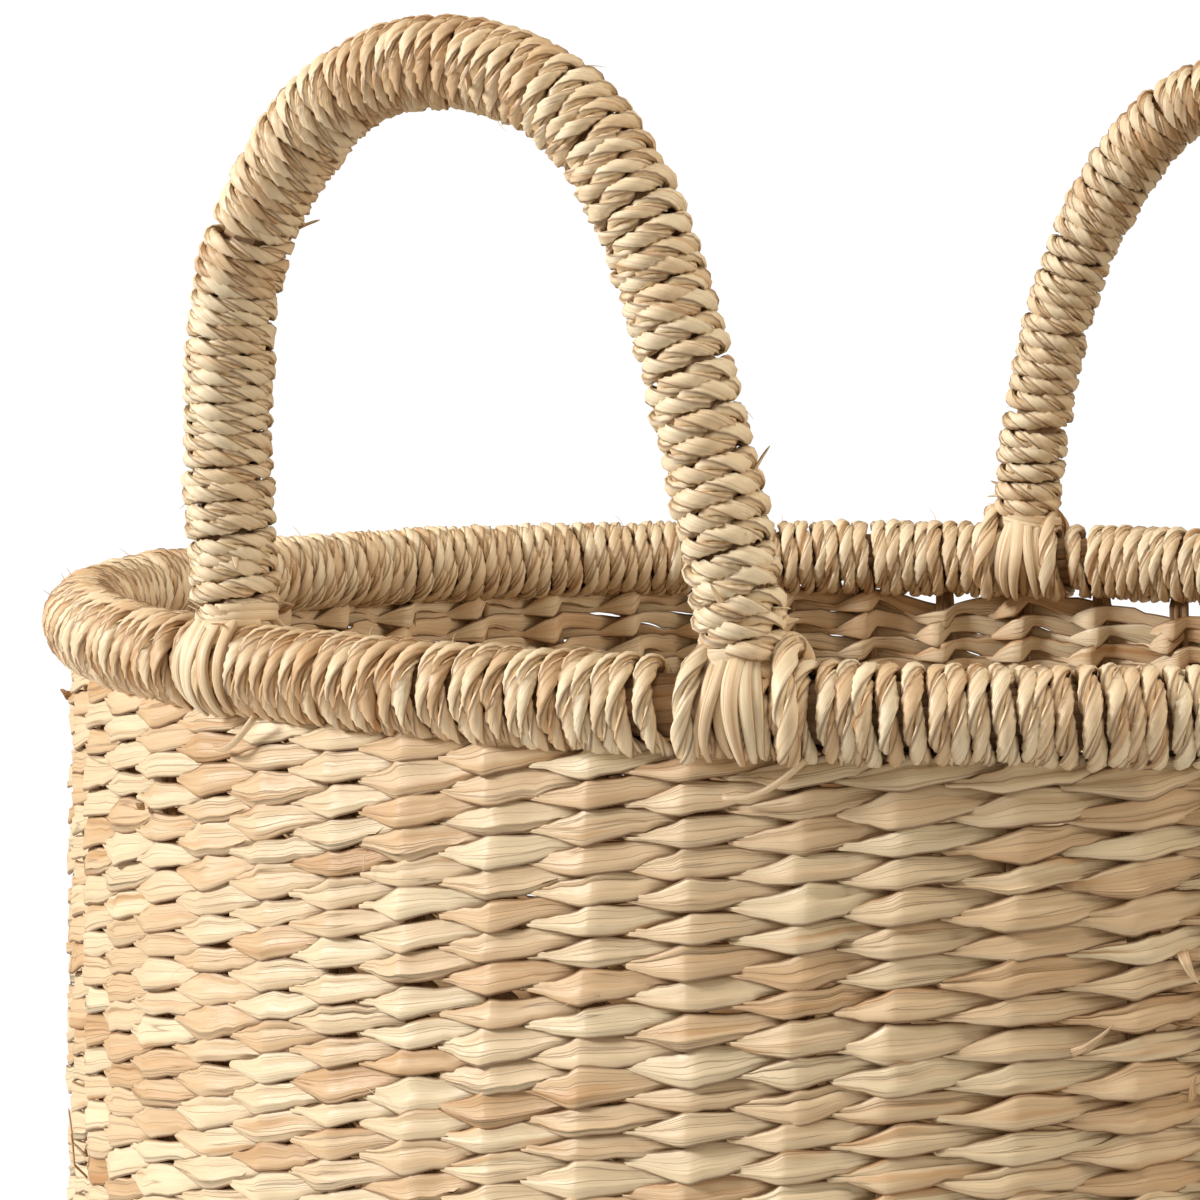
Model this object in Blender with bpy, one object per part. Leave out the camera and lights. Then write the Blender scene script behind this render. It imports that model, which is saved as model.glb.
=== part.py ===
"""Oval woven laundry basket with two upright loop handles.

The basket stands on the XY plane with its centre on the Z axis. Its long way is along X, and the
two handles stand over the middle of its long sides, at -Y and +Y. All lengths are in metres.

The pieces are made the way the basket is woven: a flat base mat, a twined wall with channels, bent
double stakes that run up those channels, a round hoop laid over the stakes' bends, a cord wrap that
binds hoop and bends together, two bent rods wrapped with cord for the handles, and four lashings
that tie the handles' feet down over the rim.
"""
from math import asin, cos, pi, radians, sin

import bmesh
import bpy
import numpy as np
from mathutils import Vector

# ---- driving dimensions -------------------------------------------------------------------------
GAP = 0.0003                # clearance between neighbouring pieces

RIM_HALF_X = 0.213          # rim centreline, half of its long way
RIM_HALF_Y = 0.185          # rim centreline, half of its short way
RIM_Z = 0.380               # height of the rim centreline
RIM_TUBE = 0.01025          # outer radius of the wrapped rim
CORD_THICK = 0.003          # thickness of the wrapping cord
RIM_WRAP_ARC_STEPS = 8      # flats round the outside of the rim wrap

STAKE_COUNT = 56            # upright stake legs, two to each bent stake
STAKE_WIDE = 0.0052         # along the rim
STAKE_THICK = 0.0026        # across the wall
STAKE_BEND = 0.0062         # radius of the bends at the top of a stake
STAKE_BEND_STEPS = 2
STAKE_BAR_DROP = 0.0039     # centre of a stake's level top run, below the rim centreline
HOOP_RISE = 0.0028          # centre of the hoop above the rim centreline
HOOP_TUBE = 0.0037
HOOP_SIDES = 8

WALL_THICK = 0.0075
WALL_TOP_DROP = 0.0145      # top of the weave below the rim centreline
BASE_CORNER = 0.030         # radius of the rounded corner between wall and base
BASE_CORNER_STEPS = 3
# how far the wall's middle surface stands in from the rim centreline, at a few heights
WALL_BULGE = ((RIM_Z - WALL_TOP_DROP, 0.0), (0.240, -0.0015), (0.120, 0.0030))
BASE_INSET = 0.0115         # the same at the top of the rounded corner

HANDLE_TUBE = 0.0095        # outer radius of the wrapped handle
HANDLE_ROD = 0.0061         # radius of the bent rod inside it
HANDLE_SEGMENTS = 20
HANDLE_WRAP_SIDES = 12
HANDLE_ROD_SIDES = 8
LASHING_THICK = 0.0028
LASHING_GAP = 0.0006
LASHING_TOP_HALF = 0.0085   # half width where it crosses the top of the rim
LASHING_TIP_HALF = 0.0150   # half width at its fanned ends
LASHING_LOW_ANGLE = -48     # degrees, where the fan ends under the outside of the rim
LASHING_STEPS = 10
HANDLE_FOOT = RIM_TUBE + LASHING_GAP + LASHING_THICK + GAP

# The bent shape of each handle: distance along the rim, height above the rim centreline. The hoops
# are shaped and tied on by hand, so the two differ a little. Seen from outside the basket, both
# lists run from left to right.
FRONT_HANDLE_SHAPE = (
    (-0.0675, HANDLE_FOOT),
    (-0.0695, 0.048),
    (-0.0650, 0.088),
    (-0.0420, 0.1200),
    (-0.0125, 0.1302),
    (0.0205, 0.1215),
    (0.0412, 0.0965),
    (0.0562, 0.0550),
    (0.0665, HANDLE_FOOT),
)
BACK_HANDLE_SHAPE = (
    (-0.0580, HANDLE_FOOT),
    (-0.0600, 0.046),
    (-0.0545, 0.086),
    (-0.0350, 0.1165),
    (-0.0060, 0.1305),
    (0.0240, 0.1280),
    (0.0440, 0.1130),
    (0.0620, 0.0830),
    (0.0725, 0.0450),
    (0.0765, HANDLE_FOOT),
)
HANDLES = (("front", -1, FRONT_HANDLE_SHAPE), ("back", 1, BACK_HANDLE_SHAPE))

# ---- materials ----------------------------------------------------------------------------------
MATERIALS = {
    "woven_leaf": ((0.56, 0.41, 0.24), 0.62),
    "twisted_cord": ((0.50, 0.35, 0.20), 0.66),
    "stake_fibre": ((0.26, 0.15, 0.07), 0.80),
    "bent_rod": ((0.38, 0.23, 0.11), 0.70),
}


def make_material(name):
    """A plain Principled material for one kind of dried plant fibre."""
    colour, roughness = MATERIALS[name]
    material = bpy.data.materials.new(name)
    material.use_nodes = True
    shader = material.node_tree.nodes["Principled BSDF"]
    shader.inputs["Base Color"].default_value = (*colour, 1.0)
    shader.inputs["Roughness"].default_value = roughness
    shader.inputs["Metallic"].default_value = 0.0
    return material


def clear_scene():
    for thing in list(bpy.data.objects):
        bpy.data.objects.remove(thing, do_unlink=True)


def make_object(name, bm, material):
    """Turn a finished bmesh into a named object with outward faces, shaded smooth."""
    bmesh.ops.recalc_face_normals(bm, faces=bm.faces)
    mesh = bpy.data.meshes.new(name)
    bm.to_mesh(mesh)
    bm.free()
    mesh.materials.append(material)
    mesh.shade_smooth()
    mesh.set_sharp_from_angle(angle=radians(40))
    thing = bpy.data.objects.new(name, mesh)
    bpy.context.scene.collection.objects.link(thing)
    return thing


# ---- the oval -----------------------------------------------------------------------------------
def oval_table():
    """Ellipse angle against the share of the way round, so that stakes can be spaced evenly."""
    angle = np.linspace(0.0, 2.0 * pi, 3601)
    x = RIM_HALF_X * np.cos(angle)
    y = RIM_HALF_Y * np.sin(angle)
    length = np.concatenate([[0.0], np.cumsum(np.hypot(np.diff(x), np.diff(y)))])
    return angle, length / length[-1], length[-1]


OVAL_ANGLE, OVAL_SHARE, OVAL_LENGTH = oval_table()


def oval(share):
    """Point on the rim centreline and the outward direction there, both in the XY plane."""
    angle = float(np.interp(share % 1.0, OVAL_SHARE, OVAL_ANGLE))
    point = Vector((RIM_HALF_X * cos(angle), RIM_HALF_Y * sin(angle), 0.0))
    outward = Vector((RIM_HALF_Y * cos(angle), RIM_HALF_X * sin(angle), 0.0)).normalized()
    return point, outward


def place(share, out, height):
    """A point given by its place round the oval, its distance out from the rim line and its height."""
    point, outward = oval(share)
    return point + outward * out + Vector((0.0, 0.0, height))


# ---- building blocks ----------------------------------------------------------------------------
def bridge(bm, first, second):
    """Quads between two loops of the same number of vertices."""
    count = len(first)
    for i in range(count):
        j = (i + 1) % count
        bm.faces.new((first[i], first[j], second[j], second[i]))


def sweep(name, loops, material, closed=False):
    """A solid through a list of point loops, either joined end to end or capped."""
    bm = bmesh.new()
    rings = [[bm.verts.new(point) for point in loop] for loop in loops]
    for first, second in zip(rings, rings[1:]):
        bridge(bm, first, second)
    if closed:
        bridge(bm, rings[-1], rings[0])
    else:
        bm.faces.new(rings[0])
        bm.faces.new(rings[-1])
    return make_object(name, bm, material)


def smooth_curve(points, steps):
    """A Catmull-Rom curve through the points, with even spacing along it."""
    ends = [points[0] * 2 - points[1], *points, points[-1] * 2 - points[-2]]
    dense = []
    for a, b, c, d in zip(ends, ends[1:], ends[2:], ends[3:]):
        for k in range(40):
            t = k / 40
            dense.append(0.5 * (2 * b + (c - a) * t + (2 * a - 5 * b + 4 * c - d) * t * t
                                + (3 * b - a - 3 * c + d) * t ** 3))
    dense.append(points[-1])
    dense = np.array(dense)
    along = np.concatenate([[0.0], np.cumsum(np.linalg.norm(np.diff(dense, axis=0), axis=1))])
    wanted = np.linspace(0.0, along[-1], steps + 1)
    return [Vector([float(np.interp(w, along, dense[:, axis])) for axis in range(3)]) for w in wanted]


# ---- base and wall ------------------------------------------------------------------------------
def wall_profile():
    """Middle line of the wall from its top to the base: distance out, height, and outward normal."""
    profile = [(-inset, height, 1.0, 0.0) for height, inset in WALL_BULGE]
    centre_out = -BASE_INSET - BASE_CORNER
    centre_height = WALL_THICK / 2 + BASE_CORNER
    for step in range(BASE_CORNER_STEPS + 1):
        angle = 0.5 * pi * step / BASE_CORNER_STEPS
        out = centre_out + BASE_CORNER * cos(angle)
        height = centre_height - BASE_CORNER * sin(angle)
        profile.append((out, height, cos(angle), -sin(angle)))
    return profile


def profile_point(share, station, across, along=0.0):
    """A point of the wall at one station of its profile, across the wall and along the rim."""
    out, height, normal_out, normal_up = station
    _, outward = oval(share)
    tangent = Vector((-outward.y, outward.x, 0.0))
    middle = place(share, out + across * normal_out, height + across * normal_up)
    return middle + tangent * along


def add_wall_cap(bm, outer, inner, channels):
    """Close one end of the wall round the mouths of its channels."""
    for k, mouth in enumerate(channels):
        after = (k + 1) % STAKE_COUNT
        out_left, out_right, in_right, in_left = mouth
        bm.faces.new((outer[k], outer[after], out_right, out_left))
        bm.faces.new((inner[after], inner[k], in_left, in_right))
        bm.faces.new((outer[k], out_left, in_left, inner[k]))
        bm.faces.new((out_right, outer[after], inner[after], in_right))


def stake_share(k):
    return (k + 0.5) / STAKE_COUNT


def make_wall(material):
    """The twined wall: an oval shell with one open channel for each stake leg."""
    bm = bmesh.new()
    half = WALL_THICK / 2
    deep = STAKE_THICK / 2 + GAP
    wide = STAKE_WIDE / 2 + GAP
    corners = ((deep, -wide), (deep, wide), (-deep, wide), (-deep, -wide))
    levels = []
    for station in wall_profile():
        outer = [bm.verts.new(profile_point(k / STAKE_COUNT, station, half)) for k in range(STAKE_COUNT)]
        inner = [bm.verts.new(profile_point(k / STAKE_COUNT, station, -half)) for k in range(STAKE_COUNT)]
        channels = []
        for k in range(STAKE_COUNT):
            mouth = [bm.verts.new(profile_point(stake_share(k), station, *corner)) for corner in corners]
            channels.append(mouth)
        levels.append((outer, inner, channels))
    for (outer, inner, channels), (next_outer, next_inner, next_channels) in zip(levels, levels[1:]):
        bridge(bm, outer, next_outer)
        bridge(bm, inner, next_inner)
        for mouth, next_mouth in zip(channels, next_channels):
            bridge(bm, mouth, next_mouth)
    add_wall_cap(bm, *levels[0])
    add_wall_cap(bm, *levels[-1])
    return make_object("wall_weave", bm, material)


def make_base(material):
    """The base mat: a flat oval plate that the wall's lower edge meets all round."""
    edge = wall_profile()[-1][0] - GAP
    loops = []
    for height in (0.0, WALL_THICK):
        loops.append([place(k / STAKE_COUNT, edge, height) for k in range(STAKE_COUNT)])
    return sweep("base_mat", loops, material)


# ---- stakes and rim -----------------------------------------------------------------------------
def stake_path(k):
    """Middle line of one bent stake: up leg k, level under the hoop, and down leg k + 1.

    Each entry holds a point, the outward direction there and the direction of the stake's width.
    """
    shares = (stake_share(k), stake_share(k + 1))
    bar_height = RIM_Z - STAKE_BAR_DROP
    bend_share = STAKE_BEND / OVAL_LENGTH
    path = []
    for sign, share in zip((1, -1), shares):
        leg = []
        _, outward = oval(share)
        towards_bar = Vector((-outward.y, outward.x, 0.0)) * sign
        for out, height, normal_out, normal_up in reversed(wall_profile()):
            normal = outward * normal_out + Vector((0.0, 0.0, normal_up))
            leg.append((place(share, out, height), normal, towards_bar))
        for step in range(STAKE_BEND_STEPS + 1):
            angle = 0.5 * pi * step / STAKE_BEND_STEPS
            turned = share + sign * bend_share * (1 - cos(angle))
            height = bar_height - STAKE_BEND * (1 - sin(angle))
            _, outward = oval(turned)
            towards_bar = Vector((-outward.y, outward.x, 0.0)) * sign
            width = towards_bar * cos(angle) - Vector((0.0, 0.0, sin(angle)))
            leg.append((place(turned, 0.0, height), outward, width))
        path += leg if sign > 0 else reversed(leg)
    return path


def make_stake(number, material):
    """One stake, bent double: its two legs fill neighbouring channels of the wall."""
    loops = []
    for point, normal, width in stake_path(2 * (number - 1)):
        a = normal * (STAKE_THICK / 2)
        b = width * (STAKE_WIDE / 2)
        loops.append([point + a - b, point + a + b, point - a + b, point - a - b])
    return sweep(f"stake_{number:02d}", loops, material)


def make_hoop(material):
    """The round hoop that stiffens the rim, just above the stakes' bends."""
    loops = []
    for k in range(STAKE_COUNT):
        loop = []
        for side in range(HOOP_SIDES):
            angle = 2 * pi * side / HOOP_SIDES
            height = RIM_Z + HOOP_RISE + HOOP_TUBE * sin(angle)
            loop.append(place(stake_share(k), HOOP_TUBE * cos(angle), height))
        loops.append(loop)
    return sweep("rim_hoop", loops, material, closed=True)


def make_rim_wrap(material):
    """The cord wound round hoop and stakes: a tube with a slot below, where the stakes go in."""
    slot = STAKE_THICK / 2 + GAP
    inner_radius = RIM_TUBE - CORD_THICK
    profile = []
    for radius, direction in ((RIM_TUBE, 1), (inner_radius, -1)):
        start = -0.5 * pi + asin(slot / radius)
        sweep_angle = 2 * pi - 2 * asin(slot / radius)
        steps = [i / RIM_WRAP_ARC_STEPS for i in range(RIM_WRAP_ARC_STEPS + 1)]
        if direction < 0:
            steps.reverse()
        for share in steps:
            angle = start + sweep_angle * share
            profile.append((radius * cos(angle), RIM_Z + radius * sin(angle)))
    loops = [[place(stake_share(k), out, height) for out, height in profile] for k in range(STAKE_COUNT)]
    return sweep("rim_wrap", loops, material, closed=True)


# ---- handles ------------------------------------------------------------------------------------
def foot_share(along, side):
    """Place round the oval of a point at a distance along the rim from a handle's middle."""
    middle = 0.75 if side < 0 else 0.25
    return middle + along / OVAL_LENGTH


def handle_curve(side, shape):
    """Middle line of a handle. A +Y handle is worked out at -Y, then turned half way round."""
    first, last = shape[0][0], shape[-1][0]
    left, _ = oval(foot_share(first, -1))
    right, _ = oval(foot_share(last, -1))
    points = []
    for along, rise in shape:
        part_way = (along - first) / (last - first)
        points.append(Vector((along, left.y + (right.y - left.y) * part_way, RIM_Z + rise)))
    curve = smooth_curve(points, HANDLE_SEGMENTS)
    if side > 0:
        curve = [Vector((-p.x, -p.y, p.z)) for p in curve]
    return curve


def tube_loop(curve, index, radius, sides):
    """A ring of points round one point of a handle's middle line."""
    before = curve[max(index - 1, 0)]
    after = curve[min(index + 1, len(curve) - 1)]
    tangent = (after - before).normalized()
    if index in (0, len(curve) - 1):
        tangent = Vector((0.0, 0.0, 1.0 if index == 0 else -1.0))
    across = Vector((0.0, 1.0, 0.0))
    normal = tangent.cross(across)
    loop = []
    for side in range(sides):
        angle = 2 * pi * side / sides
        loop.append(curve[index] + across * (radius * cos(angle)) + normal * (radius * sin(angle)))
    return loop


def make_handle_rod(name, side, shape, material):
    curve = handle_curve(side, shape)
    loops = [tube_loop(curve, i, HANDLE_ROD, HANDLE_ROD_SIDES) for i in range(len(curve))]
    return sweep(name, loops, material)


def make_handle_wrap(name, side, shape, material):
    """The cord wound round a handle's rod: a tube that is open at both feet."""
    curve = handle_curve(side, shape)
    bm = bmesh.new()
    skins = []
    for radius in (HANDLE_TUBE, HANDLE_ROD + 2 * GAP):
        skins.append([[bm.verts.new(p) for p in tube_loop(curve, i, radius, HANDLE_WRAP_SIDES)]
                      for i in range(len(curve))])
    for skin in skins:
        for first, second in zip(skin, skin[1:]):
            bridge(bm, first, second)
    for end in (0, -1):
        bridge(bm, skins[0][end], skins[1][end])
    return make_object(name, bm, material)


def make_lashing(name, along, side, material):
    """The cords that tie one handle foot down: a band over the rim, fanned out at both ends."""
    middle = foot_share(along, side)
    inner_radius = RIM_TUBE + LASHING_GAP
    outer_radius = inner_radius + LASHING_THICK
    loops = []
    for step in range(LASHING_STEPS + 1):
        share = step / LASHING_STEPS
        angle = radians(LASHING_LOW_ANGLE + (180 - 2 * LASHING_LOW_ANGLE) * share)
        spread = abs(2 * share - 1)
        half = LASHING_TOP_HALF + (LASHING_TIP_HALF - LASHING_TOP_HALF) * spread ** 2
        loop = []
        for radius, offsets in ((inner_radius, (-half, 0.0, half)), (outer_radius, (half, 0.0, -half))):
            for offset in offsets:
                spot = middle + offset / OVAL_LENGTH
                loop.append(place(spot, radius * cos(angle), RIM_Z + radius * sin(angle)))
        loops.append(loop)
    return sweep(name, loops, material)


def build():
    clear_scene()
    leaf = make_material("woven_leaf")
    cord = make_material("twisted_cord")
    fibre = make_material("stake_fibre")
    rod = make_material("bent_rod")
    make_base(leaf)
    make_wall(leaf)
    for number in range(1, STAKE_COUNT // 2 + 1):
        make_stake(number, fibre)
    make_hoop(rod)
    make_rim_wrap(cord)
    for word, side, shape in HANDLES:
        make_handle_rod(f"{word}_handle_rod", side, shape, rod)
        make_handle_wrap(f"{word}_handle_wrap", side, shape, cord)
        make_lashing(f"{word}_left_lashing", shape[0][0], side, cord)
        make_lashing(f"{word}_right_lashing", shape[-1][0], side, cord)


build()
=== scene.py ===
"""Looks for the oval woven laundry basket: twined leaf strands, stakes, cord wraps, lashings, light.

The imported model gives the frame. Every visible piece here is made from strands: flat leaf strands
that twine in pairs round the stakes, and two-ply cord that winds round the rim and the handles.
All lengths are in metres.
"""
from math import cos, pi, radians, sin, sqrt

import bpy
import numpy as np
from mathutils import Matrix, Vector
from numpy.random import default_rng


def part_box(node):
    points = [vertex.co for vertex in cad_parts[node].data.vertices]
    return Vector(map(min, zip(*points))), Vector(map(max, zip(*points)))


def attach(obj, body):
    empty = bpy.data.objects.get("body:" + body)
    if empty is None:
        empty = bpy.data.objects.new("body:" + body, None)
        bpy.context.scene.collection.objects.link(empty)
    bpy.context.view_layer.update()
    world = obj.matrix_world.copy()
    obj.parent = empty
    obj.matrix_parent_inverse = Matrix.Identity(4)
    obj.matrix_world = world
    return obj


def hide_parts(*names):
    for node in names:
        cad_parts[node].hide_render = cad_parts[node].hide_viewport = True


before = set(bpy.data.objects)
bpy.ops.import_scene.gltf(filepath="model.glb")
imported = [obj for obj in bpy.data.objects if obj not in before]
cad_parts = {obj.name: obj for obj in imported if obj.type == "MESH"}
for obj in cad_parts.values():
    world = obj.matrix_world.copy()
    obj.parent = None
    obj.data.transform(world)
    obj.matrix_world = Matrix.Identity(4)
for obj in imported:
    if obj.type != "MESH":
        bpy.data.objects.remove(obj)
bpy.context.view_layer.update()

# ---- driving dimensions, the same as the CAD model's ----
RIM_HALF_X = 0.213
RIM_HALF_Y = 0.185
RIM_TUBE = 0.01025
RIM_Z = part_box("rim_wrap")[1][2] - RIM_TUBE
WALL_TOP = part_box("wall_weave")[1][2]
BASE_CORNER = 0.030
WALL_HALF = 0.00375
WALL_SPARE = 0.010          # the rows may rise this far past the CAD wall's top, up to the rim
STAKES = 56
HANDLE_TUBE = 0.0095
# each handle's bent line: distance along the rim, and height above the rim's middle
FRONT_HANDLE_SHAPE = (
    (-0.0675, 0.0140), (-0.0695, 0.048), (-0.0650, 0.088), (-0.0420, 0.1200), (-0.0125, 0.1302),
    (0.0205, 0.1215), (0.0412, 0.0965), (0.0562, 0.0550), (0.0665, 0.0140),
)
BACK_HANDLE_SHAPE = (
    (-0.0580, 0.0140), (-0.0600, 0.046), (-0.0545, 0.086), (-0.0350, 0.1165), (-0.0060, 0.1305),
    (0.0240, 0.1280), (0.0440, 0.1130), (0.0620, 0.0830), (0.0725, 0.0450), (0.0765, 0.0140),
)
HANDLES = (("front", -1, FRONT_HANDLE_SHAPE), ("back", 1, BACK_HANDLE_SHAPE))

# ---- weave and cord ----
ROW = 0.0064                # height of one twined row
ROWS_PER_PIECE = 6          # keeps every piece under 200,000 triangles
STRAND_DEPTH = 0.0034       # how far a strand stands out where it crosses a stake

RIM_PITCH = 0.0045          # spacing of the cord's turns along the rim
RIM_TWIST = 0.0215          # length of one full twist of its two plies
RIM_CORD = 1.08             # its size
WIDE_TURNS = 0.34           # the rim's turns are this much wider near its left front
WIDE_TURNS_AT = 0.63        # share of the way round the rim where they are widest
RIM_BROWN_AND_SHADE_AT = 0.65         # the cord is browner near this share of the way round, partly its own colour; its paler turns elsewhere are painted light where the key light falls weakly

HANDLE_PITCH = 0.0038       # the same for the cord on the handles
HANDLE_TWIST = 0.0172
HANDLE_CORD = 1.05
HANDLE_WIDTHS = (1.0, 0.84, 1.32)  # how wide its turns are at the left foot, the top and the right foot
HANDLE_BROWN_AND_SHADE_AT = 0.45      # the cord is browner near this share of the handle's length: painted shade on the top, which the lamp above lights, and paler legs, painted light
HANDLE_GAP_AT = 0.286       # the front handle's turns stand apart a little at its left shoulder

UP = np.array([0.0, 0.0, 1.0])
FORWARD = np.array([0.0, 1.0, 0.0])


# ---- the oval and the wall's surface ----
def oval_table():
    """Angles round the rim's oval, the share of the way round at each, and the oval's length."""
    angle = np.linspace(0.0, 2.0 * pi, 7201)
    x = RIM_HALF_X * np.cos(angle)
    y = RIM_HALF_Y * np.sin(angle)
    length = np.concatenate([[0.0], np.cumsum(np.hypot(np.diff(x), np.diff(y)))])
    return angle, length / length[-1], length[-1]


OVAL_ANGLE, OVAL_SHARE, OVAL_LENGTH = oval_table()


def oval(share):
    """Points on the rim line, outward directions and directions along it, at one share or an array."""
    angle = np.interp(np.mod(share, 1.0), OVAL_SHARE, OVAL_ANGLE)
    zero = np.zeros_like(angle)
    point = np.stack([RIM_HALF_X * np.cos(angle), RIM_HALF_Y * np.sin(angle), zero], -1)
    outward = np.stack([RIM_HALF_Y * np.cos(angle), RIM_HALF_X * np.sin(angle), zero], -1)
    outward /= np.linalg.norm(outward, axis=-1, keepdims=True)
    along = np.stack([-outward[..., 1], outward[..., 0], zero], -1)
    return point, outward, along


def wall_table():
    """The wall's middle line as dense arrays: way down it, distance out, height, outward normal."""
    knots_z = np.array([WALL_TOP, 0.240, 0.120, WALL_HALF + BASE_CORNER])
    knots_out = np.array([0.0, 0.0015, -0.0030, -0.0115])
    bulge = np.polyfit(knots_z, knots_out, 3)
    z = np.linspace(WALL_TOP + WALL_SPARE, knots_z[-1], 200)
    out = np.polyval(bulge, z)
    turn = np.linspace(0.0, pi / 2, 40)[1:]
    z = np.concatenate([z, knots_z[-1] - BASE_CORNER * np.sin(turn)])
    out = np.concatenate([out, knots_out[-1] - BASE_CORNER * (1 - np.cos(turn))])
    way = np.concatenate([[0.0], np.cumsum(np.hypot(np.diff(z), np.diff(out)))]) - WALL_SPARE
    slope_out, slope_z = np.gradient(out, way), np.gradient(z, way)
    size = np.hypot(slope_out, slope_z)
    return way, out, z, -slope_z / size, slope_out / size


WAY, WAY_OUT, WAY_Z, WAY_NORMAL_OUT, WAY_NORMAL_Z = wall_table()
WALL_LENGTH = WAY[-1]
BASE_RADIUS = sqrt(RIM_HALF_X * RIM_HALF_Y) + WAY_OUT[-1]
BASE_DOME = 0.0022          # how far the middle of the base stands up
BASE_FLATTEN = 0.76         # the weave is pressed flatter where the basket stands on it,
FLATTEN_OVER = (0.05, 0.01)  # between these ways above the wall's end
ALL_STICKS = 0.62           # shares of the base's radius: all the sticks reach in to the first one,
HALF_STICKS = 0.30          # every other one to the second, and every fourth one on to the hub
LAST_STICK_END = 0.12       # where the longest sticks end, at the hub
HUB_AT = 0.89               # the rows go this share of the way in over the base
HUB_RADIUS = 0.026
HUB_STRIPS = 7              # strips each way in the hub
HUB_PITCH = 0.0068
HUB_HALF_WIDE = 0.0031
HUB_WAVE = 0.00075          # how far the strips go over and under each other
HUB_SPARE = 0.002
HUB_STEPS = 57


def basket_surface(share, way, depth):
    """Points at a share of the way round, a way down the wall and over the base, and a depth out."""
    point, outward, _ = oval(share)
    on_wall = np.minimum(way, WALL_LENGTH)
    flatten_at = [WALL_LENGTH - FLATTEN_OVER[0], WALL_LENGTH - FLATTEN_OVER[1]]
    depth = depth * np.interp(way, flatten_at, [1.0, BASE_FLATTEN])
    out = np.interp(on_wall, WAY, WAY_OUT)
    height = np.interp(on_wall, WAY, WAY_Z)
    normal_out = np.interp(on_wall, WAY, WAY_NORMAL_OUT)
    normal_up = np.interp(on_wall, WAY, WAY_NORMAL_Z)
    inward = np.clip((way - WALL_LENGTH) / BASE_RADIUS, 0.0, 1.0)
    spot = point + outward * (out + depth * normal_out)[..., None]
    spot *= (1.0 - inward)[..., None]
    height = height + depth * normal_up + BASE_DOME * np.sin(inward * pi / 2) ** 2
    return spot + UP * height[..., None]


# ---- mesh building ----
def grid_quads(rings, around, closed):
    """Quads of a tube of rings, closed on itself or with flat ends made of quads."""
    last = rings if closed else rings - 1
    i = np.arange(last)[:, None]
    j = np.arange(around)[None, :]
    a = i * around + j
    b = i * around + (j + 1) % around
    c = ((i + 1) % rings) * around + (j + 1) % around
    d = ((i + 1) % rings) * around + j
    quads = np.stack([a, b, c, d], -1).reshape(-1, 4)
    if closed:
        return quads
    k = np.arange(around // 2 - 1)
    cap = np.stack([k, around - 1 - k, around - 2 - k, k + 1], -1)
    far_cap = cap[:, ::-1] + (rings - 1) * around
    return np.concatenate([quads, cap, far_cap])


class Strands:
    """Collects the tubes of one piece: points, faces, and what the material needs to know."""

    def __init__(self):
        self.points, self.quads, self.leaf, self.seed = [], [], [], []
        self.count = 0

    def add(self, rings, along, across, tone, seed, closed=False):
        """rings has shape (n, m, 3). along: per ring. across: per point. tone: per ring, or one."""
        n, m, _ = rings.shape
        points = rings.reshape(-1, 3)
        quads = grid_quads(n, m, closed)
        a, b, c, d = (points[quads[:, k]] - points[0] for k in range(4))
        if np.sum(np.cross(c - a, d - b) * (a + b + c + d)) < 0:
            quads = quads[:, ::-1]
        self.points.append(points)
        self.quads.append(quads + self.count)
        self.count += n * m
        leaf = np.empty((n, m, 3))
        leaf[..., 0] = np.reshape(along, (-1, 1))
        leaf[..., 1] = across
        leaf[..., 2] = np.reshape(tone, (-1, 1))
        self.leaf.append(leaf.reshape(-1, 3))
        self.seed.append(np.full(n * m, seed))

    def build(self, name, material, nodes=()):
        """Make the mesh object, ride it on the root body and hide the CAD nodes it stands for."""
        points = np.concatenate(self.points)
        quads = np.concatenate(self.quads)
        mesh = bpy.data.meshes.new(name)
        mesh.vertices.add(len(points))
        mesh.vertices.foreach_set("co", points.ravel())
        mesh.loops.add(quads.size)
        mesh.loops.foreach_set("vertex_index", quads.ravel().astype(np.int32))
        mesh.polygons.add(len(quads))
        mesh.polygons.foreach_set("loop_start", np.arange(0, quads.size, 4, dtype=np.int32))
        leaf = mesh.attributes.new("leaf", "FLOAT_VECTOR", "POINT")
        leaf.data.foreach_set("vector", np.concatenate(self.leaf).ravel())
        seed = mesh.attributes.new("seed", "FLOAT", "POINT")
        seed.data.foreach_set("value", np.concatenate(self.seed).astype(np.float32))
        mesh.update(calc_edges=True)
        mesh.validate()
        mesh.shade_smooth()
        mesh.materials.append(material)
        piece = bpy.data.objects.new(name, mesh)
        bpy.context.scene.collection.objects.link(piece)
        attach(piece, "root")
        if nodes:
            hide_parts(*nodes)
        return piece


def smooth_noise(shape, step, seed):
    """Smooth random values in -1..1 on a closed grid, by blending coarse random values."""
    local = default_rng(seed)
    coarse = local.uniform(-1.0, 1.0, [max(3, size // step) for size in shape])
    out = coarse
    for axis, size in enumerate(shape):
        place = np.arange(size) * coarse.shape[axis] / size
        low = place.astype(int)
        blend = place - low
        blend = blend * blend * (3 - 2 * blend)
        high = (low + 1) % coarse.shape[axis]
        form = [1] * out.ndim
        form[axis] = size
        blend = blend.reshape(form)
        out = np.take(out, low, axis) * (1 - blend) + np.take(out, high, axis) * blend
    return out


# ---- twined rows ----
# A strand repeats every two stakes: in front of one (place 0) and behind the next (place 1).
PLACES = np.array([
    -0.62, -0.53, -0.43, -0.31, -0.20, -0.10, -0.022, 0.022, 0.12, 0.22,
    0.33, 0.45, 0.57, 0.66, 0.77, 0.88, 0.975, 1.025, 1.14, 1.28,
])
PLACE_IN_FRONT = PLACES < 0.5
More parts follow.
